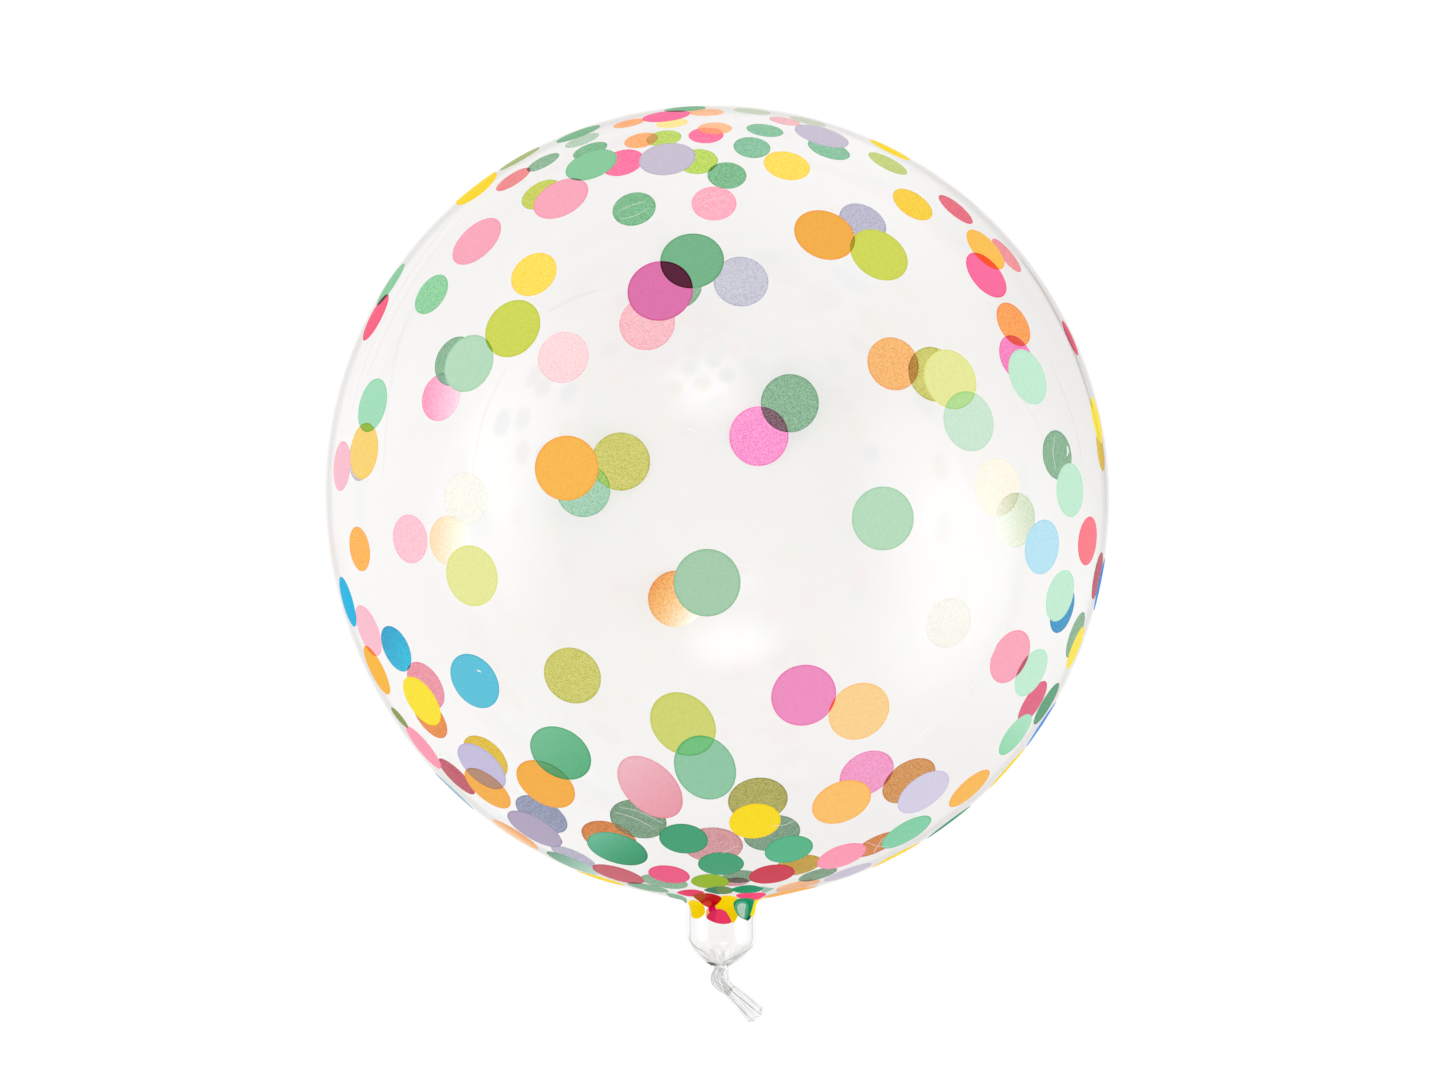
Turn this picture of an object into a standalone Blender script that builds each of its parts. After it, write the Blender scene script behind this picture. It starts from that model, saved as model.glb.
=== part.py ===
"""A clear orb balloon lying on its side: one bag of film, blown up, with its neck gathered and knotted.

Metres, +Z up. The orb rests on a small flat patch whose centre is the origin. The balloon's own axis
is level and runs along Y, with the crown towards +Y and the neck towards -Y.
"""

import math

import bmesh
import bpy
from mathutils import Vector

# The orb. A reach is measured along Y from the orb's widest ring, and the film leans sideways by a
# small share of it, because such a bag never fills quite evenly.
ORB_DIAMETER = 0.400
CROWN_REACH = 0.1992
SHOULDER_REACH = 0.2057
SHOULDER_DIAMETER = 0.090
AXIS_LEAN = 0.0095
REST_PATCH_DIAMETER = 0.060

# The neck, a straight tube between its root fillet and the gather.
NECK_DIAMETER = 0.0358
NECK_ROOT_FILLET = 0.004
NECK_LENGTH = 0.0154

# The gather, where the tube is drawn together in pleats.
GATHER_LENGTH = 0.0151
GATHER_ROUNDNESS = 1.95
PLEAT_ONSET_SHARE = 0.6
WAIST_DIAMETER = 0.0074
PLEATS = 16
GATHER_PLEAT_DEPTH = 0.0011
BUNDLE_PLEAT_DEPTH = 0.0005

# The knot: the bundled film, and the turn of it that wraps round itself.
KNOT_LENGTH = 0.0135
KNOT_DIAMETER = 0.0076
KNOT_LEAN = 0.0007
WRAP_DIAMETER = 0.0076
WRAP_FILM_WIDTH = 0.0086
WRAP_FILM_THICKNESS = 0.0036
WRAP_TILT_DEG = -42.0

# The tail, a flattened fan of pleats that leaves the knot to one side.
TAIL_LENGTH = 0.0183
TAIL_ANGLE_DEG = 46.0
TAIL_ROOT_WIDTH = 0.0062
TAIL_ROOT_THICKNESS = 0.0050
TAIL_TIP_WIDTH = 0.0105
TAIL_TIP_THICKNESS = 0.0046
TAIL_RAGGEDNESS = 0.0022
TAIL_RAGGED_WAVES = 2.5

# How finely the film is faceted.
SEGMENTS = 64
CROWN_RINGS = 18
SHOULDER_RINGS = 15
FILLET_RINGS = 4
GATHER_RINGS = 8
KNOT_RINGS = 6
TAIL_RINGS = 6
WRAP_STEPS = 36
WRAP_SIDES = 12

ORB_RADIUS = ORB_DIAMETER / 2
NECK_RADIUS = NECK_DIAMETER / 2
WAIST_RADIUS = WAIST_DIAMETER / 2
AXIS_HEIGHT = math.sqrt(ORB_RADIUS**2 - (REST_PATCH_DIAMETER / 2) ** 2)
ALONG_NECK = Vector((0, -1, 0))
SIDEWAYS = Vector((1, 0, 0))
UP = Vector((0, 0, 1))


def clear_scene():
    for obj in list(bpy.data.objects):
        bpy.data.objects.remove(obj)


def film_material():
    """Clear stretch film, faintly grey, with a glossy skin."""
    material = bpy.data.materials.new("clear_film")
    material.use_nodes = True
    shader = material.node_tree.nodes["Principled BSDF"]
    shader.inputs["Base Color"].default_value = (0.93, 0.93, 0.925, 1)
    shader.inputs["Roughness"].default_value = 0.04
    shader.inputs["Metallic"].default_value = 0.0
    shader.inputs["Alpha"].default_value = 0.35
    return material


def smooth_step(share):
    return share * share * (3 - 2 * share)


def between(low, high, share):
    return low + (high - low) * share


def on_axis(reach):
    """The middle of the ring at that reach. A reach is negative on the crown's side."""
    return Vector((AXIS_LEAN * reach, -reach, AXIS_HEIGHT))


def orb_outline():
    """(reach, radius) from the ring next to the crown to the shoulder: two half ellipses."""
    outline = []
    for step in range(1, CROWN_RINGS + 1):
        turn = math.pi / 2 * step / CROWN_RINGS
        outline.append((-CROWN_REACH * math.cos(turn), ORB_RADIUS * math.sin(turn)))
    shoulder_turn = math.acos(SHOULDER_DIAMETER / 2 / ORB_RADIUS)
    for step in range(1, SHOULDER_RINGS + 1):
        turn = shoulder_turn * step / SHOULDER_RINGS
        outline.append((SHOULDER_REACH * math.sin(turn), ORB_RADIUS * math.cos(turn)))
    return outline


def neck_outline():
    """(reach, radius) from the fillet at the neck's root to the end of the straight tube.

    Between the shoulder and the fillet the film is a cone that leaves the orb on its tangent."""
    shoulder_turn = math.acos(SHOULDER_DIAMETER / 2 / ORB_RADIUS)
    shoulder_reach = SHOULDER_REACH * math.sin(shoulder_turn)
    cone_slope = SHOULDER_REACH / ORB_RADIUS / math.tan(shoulder_turn)
    corner_reach = shoulder_reach + cone_slope * (SHOULDER_DIAMETER / 2 - NECK_RADIUS)
    whole_turn = math.pi / 2 - math.atan(cone_slope)
    wall_reach = corner_reach + NECK_ROOT_FILLET * math.tan(whole_turn / 2)
    outline = []
    for step in range(FILLET_RINGS + 1):
        turn = whole_turn * (1 - step / FILLET_RINGS)
        outline.append(
            (
                wall_reach - NECK_ROOT_FILLET * math.sin(turn),
                NECK_RADIUS + NECK_ROOT_FILLET * (1 - math.cos(turn)),
            )
        )
    outline.append((wall_reach + NECK_LENGTH, NECK_RADIUS))
    return outline


def pleat(index, depth):
    """How far a pleat's ridge or furrow stands from the middle surface at one point of a ring."""
    return depth * math.cos(2 * math.pi * PLEATS * index / SEGMENTS)


def ring(centre, across, half_width, half_thickness, depth, swing=lambda index: Vector()):
    """One closed ring of points round centre. across is the direction of its width, UP of its thickness."""
    points = []
    for index in range(SEGMENTS):
        angle = 2 * math.pi * index / SEGMENTS
        fold = pleat(index, depth)
        points.append(
            centre
            + across * ((half_width + fold) * math.cos(angle))
            + UP * ((half_thickness + fold) * math.sin(angle))
            + swing(index)
        )
    return points


def round_rings(outline):
    return [ring(on_axis(reach), SIDEWAYS, radius, radius, 0) for reach, radius in outline]


def gather_rings(start_reach):
    """The tube drawn in from the neck's radius to the waist's, with pleats that deepen on the way."""
    rings = []
    for step in range(1, GATHER_RINGS + 1):
        share = step / GATHER_RINGS
        radius = between(NECK_RADIUS, WAIST_RADIUS, share**GATHER_ROUNDNESS)
        deepening = math.sin(math.pi / 2 * min(share / PLEAT_ONSET_SHARE, 1))
        depth = between(GATHER_PLEAT_DEPTH, BUNDLE_PLEAT_DEPTH, share) * deepening
        centre = on_axis(start_reach + GATHER_LENGTH * share)
        rings.append(ring(centre, SIDEWAYS, radius, radius, depth))
    return rings


def tail_direction(angle_deg=TAIL_ANGLE_DEG):
    angle = math.radians(angle_deg)
    return ALONG_NECK * math.cos(angle) + SIDEWAYS * math.sin(angle)


def knot_middle(waist):
    return waist + ALONG_NECK * (KNOT_LENGTH / 2) - SIDEWAYS * KNOT_LEAN


def bundle_rings(waist):
    """The bundled film from the waist through the knot, turning towards the tail's direction."""
    middle = knot_middle(waist)
    tail_root = middle + tail_direction() * (KNOT_LENGTH / 2)
    rings = []
    for step in range(1, KNOT_RINGS + 1):
        share = step / KNOT_RINGS
        # A quadratic curve that leaves the waist along the neck and bends at the knot's middle
        centre = waist * (1 - share) ** 2 + middle * (2 * share * (1 - share)) + tail_root * share**2
        turned = tail_direction(TAIL_ANGLE_DEG * smooth_step(share))
        swell = math.sin(math.pi * share)
        width = between(WAIST_DIAMETER, TAIL_ROOT_WIDTH, share)
        thickness = between(WAIST_DIAMETER, TAIL_ROOT_THICKNESS, share)
        rings.append(
            ring(
                centre,
                UP.cross(turned),
                between(width, KNOT_DIAMETER, swell) / 2,
                between(thickness, KNOT_DIAMETER, swell) / 2,
                BUNDLE_PLEAT_DEPTH,
            )
        )
    return rings, tail_root


def tail_rings(tail_root):
    """The fan, widening and flattening to a ragged end."""
    direction = tail_direction()

    def ragged(index):
        wave = math.sin(2 * math.pi * TAIL_RAGGED_WAVES * index / SEGMENTS)
        return direction * (TAIL_RAGGEDNESS * wave + pleat(index, TAIL_RAGGEDNESS / 2)) / 2

    rings = []
    for step in range(1, TAIL_RINGS + 1):
        share = step / TAIL_RINGS
        last = step == TAIL_RINGS
        rings.append(
            ring(
                tail_root + direction * (TAIL_LENGTH * share),
                UP.cross(direction),
                between(TAIL_ROOT_WIDTH, TAIL_TIP_WIDTH, share) / 2,
                between(TAIL_ROOT_THICKNESS, TAIL_TIP_THICKNESS, share) / 2,
                BUNDLE_PLEAT_DEPTH * (1 + share / 2),
                ragged if last else lambda index: Vector(),
            )
        )
    return rings


def skin(mesh, rings):
    """Joins rings of points with quads, and returns the first and the last ring's vertices."""
    loops = [[mesh.verts.new(point) for point in points] for points in rings]
    for near, far in zip(loops, loops[1:]):
        for index in range(SEGMENTS):
            after = (index + 1) % SEGMENTS
            mesh.faces.new((near[index], near[after], far[after], far[index]))
    return loops[0], loops[-1]


def close_end(mesh, loop, point):
    tip = mesh.verts.new(point)
    for index in range(SEGMENTS):
        mesh.faces.new((loop[index], loop[(index + 1) % SEGMENTS], tip))


def cut_rest_patch(mesh):
    """Flattens the underside: what would lie below the floor is cut off and the cut is filled."""
    bmesh.ops.bisect_plane(
        mesh,
        geom=mesh.verts[:] + mesh.edges[:] + mesh.faces[:],
        plane_co=(0, 0, 0),
        plane_no=UP,
        clear_inner=True,
    )
    bmesh.ops.holes_fill(mesh, edges=[edge for edge in mesh.edges if edge.is_boundary])


def make_film():
    """The whole bag as one closed body: crown, orb, shoulder cone, neck, gather, bundle and tail."""
    neck = neck_outline()
    gather_start = neck[-1][0]
    waist = on_axis(gather_start + GATHER_LENGTH)
    bundle, tail_root = bundle_rings(waist)
    tail = tail_rings(tail_root)
    rings = round_rings(orb_outline() + neck) + gather_rings(gather_start) + bundle + tail

    mesh = bmesh.new()
    first, last = skin(mesh, rings)
    close_end(mesh, first, on_axis(-CROWN_REACH))
    end = sum((vertex.co for vertex in last), Vector()) / SEGMENTS
    close_end(mesh, last, end - tail_direction() * TAIL_RAGGEDNESS)
    cut_rest_patch(mesh)
    bmesh.ops.recalc_face_normals(mesh, faces=mesh.faces)
    data = bpy.data.meshes.new("balloon_film")
    mesh.to_mesh(data)
    mesh.free()
    data.shade_smooth()
    data.set_sharp_from_angle(angle=math.radians(35))
    data.materials.append(film_material())
    film = bpy.data.objects.new("balloon_film", data)
    bpy.context.scene.collection.objects.link(film)
    return film, waist


def make_wrap(waist):
    """The turn of film round the knot, a tilted ring with an oval section, as a helper for the union."""
    tilt = math.radians(WRAP_TILT_DEG)
    normal = ALONG_NECK * math.cos(tilt) + SIDEWAYS * math.sin(tilt)
    across = UP.cross(normal)
    centre = knot_middle(waist)
    mesh = bmesh.new()
    loops = []
    for step in range(WRAP_STEPS):
        turn = 2 * math.pi * step / WRAP_STEPS
        outward = across * math.cos(turn) + UP * math.sin(turn)
        loop = []
        for side in range(WRAP_SIDES):
            angle = 2 * math.pi * side / WRAP_SIDES
            loop.append(
                mesh.verts.new(
                    centre
                    + outward * (WRAP_DIAMETER / 2 + WRAP_FILM_THICKNESS / 2 * math.cos(angle))
                    + normal * (WRAP_FILM_WIDTH / 2 * math.sin(angle))
                )
            )
        loops.append(loop)
    for step in range(WRAP_STEPS):
        near, far = loops[step], loops[(step + 1) % WRAP_STEPS]
        for side in range(WRAP_SIDES):
            after = (side + 1) % WRAP_SIDES
            mesh.faces.new((near[side], near[after], far[after], far[side]))
    bmesh.ops.recalc_face_normals(mesh, faces=mesh.faces)
    data = bpy.data.meshes.new("wrap")
    mesh.to_mesh(data)
    mesh.free()
    data.shade_smooth()
    wrap = bpy.data.objects.new("wrap", data)
    bpy.context.scene.collection.objects.link(wrap)
    wrap.hide_render = True
    wrap.display_type = "WIRE"
    return wrap


def main():
    clear_scene()
    film, waist = make_film()
    union = film.modifiers.new("knot_wrap", "BOOLEAN")
    union.operation = "UNION"
    union.solver = "EXACT"
    union.object = make_wrap(waist)


main()
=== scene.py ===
"""The looks of a clear orb balloon: stretch film, its printed dots, and the gathered and knotted neck.

Metres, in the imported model's frame: +Z up, the orb lying on the origin, the neck towards -Y. The film is
one mesh that follows the CAD outline. Its dots are faces of the same skin, so they add no thickness.
"""

import math

import bpy
import numpy as np
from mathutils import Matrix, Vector
from mathutils.geometry import delaunay_2d_cdt

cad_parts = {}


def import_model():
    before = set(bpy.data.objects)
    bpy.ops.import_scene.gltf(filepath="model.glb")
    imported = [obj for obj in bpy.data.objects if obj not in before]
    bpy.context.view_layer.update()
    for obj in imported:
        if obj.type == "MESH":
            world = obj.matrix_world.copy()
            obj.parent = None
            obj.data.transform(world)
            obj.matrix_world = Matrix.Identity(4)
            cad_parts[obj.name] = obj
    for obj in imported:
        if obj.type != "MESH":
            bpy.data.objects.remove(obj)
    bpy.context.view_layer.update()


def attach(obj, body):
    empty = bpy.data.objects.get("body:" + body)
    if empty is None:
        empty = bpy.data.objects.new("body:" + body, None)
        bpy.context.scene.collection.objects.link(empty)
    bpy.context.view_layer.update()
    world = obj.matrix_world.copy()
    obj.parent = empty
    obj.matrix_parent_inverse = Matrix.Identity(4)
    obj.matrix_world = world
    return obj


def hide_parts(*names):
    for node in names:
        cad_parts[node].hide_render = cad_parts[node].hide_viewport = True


MM_PER_METRE = 1000

# The orb and its neck, with the CAD's own sizes. A reach is measured from the widest ring towards the neck.
ORB_DIAMETER = 0.400
CROWN_REACH = 0.1992
SHOULDER_REACH = 0.2057
SHOULDER_DIAMETER = 0.090
AXIS_LEAN = 0.0095
REST_PATCH_DIAMETER = 0.060
REST_PATCH_SOFTNESS = 0.0006
NECK_DIAMETER = 0.0358
NECK_ROOT_FILLET = 0.004
NECK_LENGTH = 0.0154
NECK_WALL_GAP = 0.0016
NECK_WALL_LAP = 0.001
GATHER_LENGTH = 0.0151
GATHER_ROUNDNESS = 1.95
WAIST_DIAMETER = 0.0074

# The folds of the gather, as (folds round the neck, depth, turn in degrees).
GATHER_FOLDS = ((7, 0.0007, 20), (12, 0.0005, 75), (19, 0.00035, 140), (29, 0.0002, 10))
FOLD_ONSET = 0.25
# Its crumple lines, painted shade in its creases, as (lines round it, lean, turn in degrees, weight), and
# their darkness.
CRUMPLE_LINES = ((5, 1.1, 40, 0.8), (8, -0.8, 200, 0.7), (13, 0.6, 100, 0.6), (21, -0.5, 320, 0.5))
CRUMPLE_SHADE = 0.3
PINCH_SHADE = 0.5
# How high on a wave its line starts and is darkest, and over which shares of the gather the lines and
# the painted shade of the pinch at the waist set in.
CRUMPLE_CREST = (0.6, 1.0)
CRUMPLE_ONSET = (0.15, 0.75)
PINCH_ONSET = (0.85, 1.0)

# The knot: the strand that runs through it, and the turn of film beside it. Each point is millimetres
# sideways, along and up from the waist, then the strand's half width and half thickness.
THROUGH_STRAND = (
    (0.0, -0.6, 0.0, 3.6, 3.4),
    (1.4, 2.4, 0.0, 2.3, 2.6),
    (2.0, 6.4, 0.0, 2.1, 2.6),
    (3.0, 9.6, 0.0, 2.6, 2.6),
    (4.6, 12.4, 0.0, 3.1, 2.5),
)
TURN_STRAND = (
    (-0.8, 0.2, 0.4, 2.6, 2.0),
    (-1.9, 3.2, 1.6, 2.6, 2.0),
    (-2.8, 6.2, 2.3, 3.0, 2.1),
    (-1.2, 8.8, 2.2, 2.9, 2.1),
    (1.4, 11.2, 1.6, 2.4, 1.9),
    (4.6, 13.9, 0.0, 1.6, 1.4),
)
TAIL_LENGTH = 0.0183
TAIL_LAP = 0.001
TAIL_ANGLE_DEG = 46.0
TAIL_ROOT_WIDTH = 0.0062
TAIL_ROOT_THICKNESS = 0.0050
TAIL_TIP_WIDTH = 0.0110
TAIL_TIP_THICKNESS = 0.0046
TAIL_END_BULGE = 0.0028
TAIL_END_POWER = 4
TAIL_RAGGEDNESS = 0.0004
TAIL_RAGGED_WAVES = ((6, 2), (11, 0), (19, 0))
# The last rings, which close the tail's end: each one's size as a share, and how far back it is set.
TAIL_END_RINGS = ((0.75, 0.0001), (0.45, 0.0003), (0.05, 0.0004))
# Uneven folds round a bundle of film, as (folds round it, share of the depth). The streaks are painted
# shade in finer folds, drawn the same way. A bundle's seed turns its folds.
BUNDLE_FOLDS = ((4, 0.45), (7, 0.35), (11, 0.2))
BUNDLE_FOLD_SHADE = ((7, 0.2), (13, 0.35), (19, 0.4), (31, 0.35))
STRAND_FOLD_DEPTH = 0.0004
TAIL_FOLD_DEPTH = 0.0005
SEED_TURN = 1.7
TAIL_SEED = 1
# How many radians the folds turn from ring to ring of a strand, and folds and painted fold shade along the
# tail.
STRAND_TWIST = 0.03
TAIL_TWIST = 0.5
STREAK_TWIST = 0.25
STRAND_SHADE = 0.7
TAIL_SHADE = 0.85
# The tail's painted fold shade fades towards its cut end: the share of its length from which, and how much
# is left.
STREAKS_FADE_FROM = 0.75
STREAKS_LEFT = 0.3

# How finely the film is drawn.
ARC_POINTS = 600
FILLET_POINTS = 40
GATHER_CURVE_POINTS = 200
OUTLINE_STEP = 0.00025
ORB_STEP = 0.006
NECK_STEP_SHARE = 0.045
FINEST_STEP = 0.0007
RING_SPACING = 0.87
LEAST_RING_POINTS = 8
GATHER_POINTS = 220
NECK_WALL_RINGS = 60
BUNDLE_POINTS = 132
STRAND_RINGS = 40
TAIL_RINGS = 30
DOT_POINTS = 48
STROKE_POINTS = 16
STROKE_END_WIDTH = 0.15
STROKE_SWELL_POWER = 0.5
# The search for points on the film: its steps, its reach as a share of the way, how far in and out of
# the film a dot's edge may lie, and the lengths that count as nothing.
HALVINGS = 40
NARROWINGS = 50
SEARCH_SHARE = 0.2
DOT_DEPTH = 0.012
CHART_PRECISION = 1e-9
NEVER_ZERO = 1e-9

# The photograph, in pixels, and where the camera stands for it.
PHOTO_WIDTH = 1445
PHOTO_HEIGHT = 1083
FOCAL_LENGTH_PX = 4889
ORB_PIXEL = (717.1, 496.0)
CAMERA_DISTANCE = 2.5
SENSOR_WIDTH_MM = 36

ORB_RADIUS = ORB_DIAMETER / 2
NECK_RADIUS = NECK_DIAMETER / 2
WAIST_RADIUS = WAIST_DIAMETER / 2
AXIS_HEIGHT = math.sqrt(ORB_RADIUS**2 - (REST_PATCH_DIAMETER / 2) ** 2)
ALONG_NECK = np.array((0.0, -1.0, 0.0))
SIDEWAYS = np.array((1.0, 0.0, 0.0))
UP = np.array((0.0, 0.0, 1.0))

# The inks, as they show on white, in 8-bit red, green and blue.
# Some of these stand for painted light, not ink: white in one glint, some of the greys in the gather's
# creases and pinch, and the lit, glinting and shaded greens of the neck print.
INKS = {
    "orange": (248, 178, 78), "bright_orange": (253, 188, 86), "dull_orange": (238, 182, 112),
    "deep_orange": (244, 162, 82), "soft_orange": (248, 174, 112), "rich_orange": (253, 186, 60),
    "amber": (255, 196, 84), "peach": (255, 214, 150), "apricot": (255, 196, 110),
    "pale_yellow": (254, 216, 120), "salmon": (246, 188, 144), "soft_salmon": (248, 194, 142),
    "brown": (210, 134, 62), "warm_brown": (226, 142, 66), "light_brown": (210, 152, 86),
    "yellow": (252, 222, 40), "light_yellow": (254, 232, 84), "rich_yellow": (254, 231, 60),
    "soft_yellow": (247, 217, 82), "hazy_yellow": (250, 228, 150), "deep_yellow": (239, 204, 40),
    "cream": (246, 240, 229), "ochre": (218, 188, 50), "rich_ochre": (222, 190, 14),
    "dark_ochre": (196, 162, 50), "lime": (212, 220, 92), "dull_lime": (192, 208, 122),
    "top_lime": (184, 212, 92), "moss_lime": (196, 206, 84), "dusty_lime": (212, 216, 118),
    "leaf": (150, 184, 44), "pale_lime": (236, 238, 158), "faint_lime": (234, 236, 230),
    "olive": (200, 200, 108), "dark_olive": (174, 172, 92), "dull_olive": (168, 188, 116),
    "mint_green": (168, 208, 176), "mint": (166, 226, 190), "light_mint": (198, 240, 214),
    "soft_mint": (186, 224, 194), "sea_green": (148, 202, 168), "teal_mint": (134, 210, 170),
    "pale_mint": (208, 236, 214), "faint_mint": (222, 233, 216), "green": (122, 184, 142),
    "fresh_green": (140, 206, 160), "deep_green": (74, 162, 120), "bright_green": (92, 184, 140),
    "clear_green": (102, 182, 136), "cool_green": (132, 192, 160), "moss": (136, 180, 150),
    "hazy_moss": (200, 212, 196), "deep_moss": (124, 160, 134), "pale_moss": (176, 204, 184),
    "misty_green": (160, 204, 180), "blue": (50, 190, 226), "rich_blue": (10, 184, 230),
    "deep_blue": (6, 170, 210), "sea_blue": (50, 152, 202), "vivid_blue": (10, 140, 226),
    "soft_blue": (98, 198, 222), "pale_blue": (188, 232, 248), "dusty_blue": (152, 192, 214),
    "slate": (146, 154, 182), "lavender": (204, 196, 214), "cool_lavender": (200, 194, 224),
    "dusk_lavender": (180, 168, 194), "pale_lavender": (216, 210, 232), "violet_grey": (194, 196, 212),
    "violet_shade": (182, 182, 204), "magenta": (240, 130, 194), "deep_magenta": (226, 118, 176),
    "soft_magenta": (242, 146, 198), "faded_magenta": (250, 178, 208), "orchid": (242, 150, 208),
    "soft_orchid": (238, 158, 204), "rose": (254, 112, 162), "deep_rose": (238, 92, 134),
    "pink": (254, 172, 192), "light_pink": (254, 194, 210), "warm_pink": (255, 157, 182),
    "dusty_pink": (240, 176, 188), "pale_pink": (238, 186, 196), "pale_rose": (244, 212, 218),
    "dull_pink": (208, 154, 160), "dull_rose": (228, 150, 168), "sliver_red": (226, 84, 112),
    "sliver_green": (140, 158, 80), "brick_pink": (236, 146, 156), "faint_orange": (254, 234, 212),
    "red": (254, 96, 132), "coral": (255, 128, 142), "crimson": (206, 66, 84),
    "dusk_rose": (190, 80, 104), "brick": (232, 132, 138), "dusty_red": (204, 102, 114),
    "soft_crimson": (226, 100, 124), "berry": (222, 98, 136), "white": (250, 250, 250),
    "shade_grey": (118, 118, 118), "crease_grey": (200, 200, 200), "pale_grey": (222, 222, 222),
    "vivid_yellow": (255, 220, 0), "lemon": (255, 236, 20), "vivid_red": (190, 0, 16),
    "rust": (178, 58, 0), "light_red": (214, 62, 46), "vivid_magenta": (232, 0, 108),
    "vivid_rose": (228, 50, 98), "warm_rose": (246, 62, 110), "bright_rose": (255, 56, 120),
    "vivid_green": (0, 148, 100), "lit_green": (84, 178, 146), "glint_green": (188, 222, 206),
    "shade_green": (30, 84, 60), "teal": (58, 128, 100), "leaf_teal": (104, 140, 84),
    "grey_green": (150, 192, 172),
}

# What two inks make where one is printed over the other. Any other pair multiplies.
OVERPRINTS = {
    ("deep_magenta", "green"): (92, 38, 60), ("fresh_green", "red"): (96, 44, 52),
    ("fresh_green", "pink"): (108, 124, 112), ("faint_lime", "faint_orange"): (244, 228, 212),
    ("clear_green", "orange"): (92, 160, 104), ("amber", "rose"): (255, 82, 34),
    ("rose", "salmon"): (250, 150, 112), ("soft_orange", "top_lime"): (200, 150, 72),
    ("brown", "deep_moss"): (150, 130, 84), ("pale_lime", "pale_mint"): (184, 226, 152),
    ("dusty_lime", "sea_green"): (118, 196, 130), ("cool_lavender", "orange"): (184, 142, 120),
    ("faded_magenta", "moss"): (130, 170, 150), ("lime", "orange"): (180, 156, 44),
    ("peach", "soft_magenta"): (255, 88, 74), ("light_mint", "pink"): (198, 92, 114),
    ("mint", "pale_yellow"): (150, 190, 70), ("misty_green", "olive"): (158, 196, 96),
    ("moss", "orchid"): (122, 88, 104),
}

# The dots on the film's near side: pixel across and down, how many pixels wide, and the ink.
FRONT_DOTS = (
    (566, 468, 65, "bright_orange"), (707, 583, 67, "mint_green"), (883.5, 518.5, 64, "soft_mint"),
    (804, 696, 66, "soft_magenta"), (859.5, 712, 64, "peach"), (471, 576, 62, "pale_lime"),
    (692, 260, 64, "green"), (660, 290, 66, "deep_magenta"), (951, 379, 62, "pale_lime"),
    (969.5, 421, 61, "pale_mint"), (512, 328, 62, "lime"), (468, 363, 60, "soft_mint"),
    (825, 234, 63, "orange"), (879.5, 254, 62.5, "lime"), (560.5, 197.5, 59, "pink"),
    (591, 164, 54, "fresh_green"), (667, 158, 57, "lavender"), (578, 133.3, 47, "green"),
    (519.5, 158.2, 46, "dull_olive"), (685, 108.5, 42, "green"), (890, 149.5, 45, "vivid_yellow"),
    (476, 240.5, 60, "pink"), (666, 115.5, 48, "rose"), (822, 135, 56, "lavender"),
    (986, 249, 51, "amber"), (987, 274.5, 54, "rose"), (1028.5, 376.5, 58, "light_mint"),
    (1071, 490, 54, "light_mint"), (1043, 547, 55, "pale_blue"), (1061, 596, 53, "light_mint"),
    (1088.5, 541, 49, "coral"), (1011, 657, 57, "pink"), (1032, 673, 52, "light_mint"),
    (1076, 648, 46, "light_yellow"), (1097, 420, 48, "rich_yellow"), (1016, 735, 50, "mint"),
    (970, 789, 53, "bright_orange"), (371.5, 405, 55, "mint"), (363, 451, 57, "pale_yellow"),
    (341, 466, 50, "light_pink"), (375, 317, 52, "red"), (390, 284, 50, "fresh_green"),
    (347, 602, 52, "rich_blue"), (367.5, 631, 54, "light_pink"), (376, 670.5, 54, "rich_orange"),
    (421, 701.5, 56, "rich_yellow"), (423, 748, 54, "warm_pink"), (474, 681.5, 60, "soft_blue"),
    (560, 754, 66, "clear_green"), (545, 785, 65, "orange"), (481, 767, 60, "cool_lavender"),
    (487, 789, 57, "orange"), (534, 830, 62, "dusk_lavender"), (515, 835, 54, "soft_salmon"),
    (572, 864, 56, "grey_green"), (617, 850, 63, "deep_green"), (683.5, 839.5, 49, "deep_green"),
    (755, 822, 52, "yellow"), (789, 850, 49, "bright_green"), (842, 803, 62, "apricot"),
    (842, 857, 52, "warm_pink"), (848, 873, 50, "lavender"), (924, 793, 60, "pale_lavender"),
    (907, 833, 57, "teal_mint"), (721, 864.5, 46, "deep_green"), (772, 875, 46, "crimson"),
    (618, 875, 54, "dusty_red"), (669, 875, 42, "deep_rose"), (710, 882, 38, "leaf"),
    (648, 888, 42, "moss"),
)

# Ovals on the near side: pixel across and down, long and short axes, how many degrees the right end is
# tilted down, and the ink.
FRONT_OVALS = (
    (683, 724, 71, 58, 40, "dusty_lime"),
    (705, 767.5, 68, 58, 50, "sea_green"),
    (650, 787, 77, 48, 42, "dusty_pink"),
    (476.5, 188.5, 51, 14, -38, "vivid_yellow"),
    (599, 878, 54, 3, 16, "vivid_yellow"),
    (1070, 338, 38, 5, 66, "sliver_red"),
    (399.5, 717.5, 26, 5, 51, "sliver_green"),
)

# Dots with more ink towards one side: the dot's pixels as in its table, the way to its strong side in
# degrees clockwise from right, and how strong its ink is at its weak side and at its strong one. At (676,
# 599), (449.5, 541) and (1016, 520) the washed-out weak side is a painted reflection of a softbox.
UNEVEN_AND_GLARED_DOTS = (
    (676, 599, 215, 0.0, 1.4), (449.5, 541, 190, 0.1, 2.0), (440.5, 397, 190, 0.45, 1.4),
    (1016, 520, -10, 0.3, 1.6), (515, 835, -55, 0.4, 1.6), (617, 850, 60, 0.65, 1.15),
    (650, 787, 55, 0.8, 1.3), (572, 864, 215, 0.5, 1.5), (395.5, 649, 200, 0.75, 1.15),
    (560, 754, 55, 0.8, 1.05), (1016, 735, 120, 0.8, 1.25),
)

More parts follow.
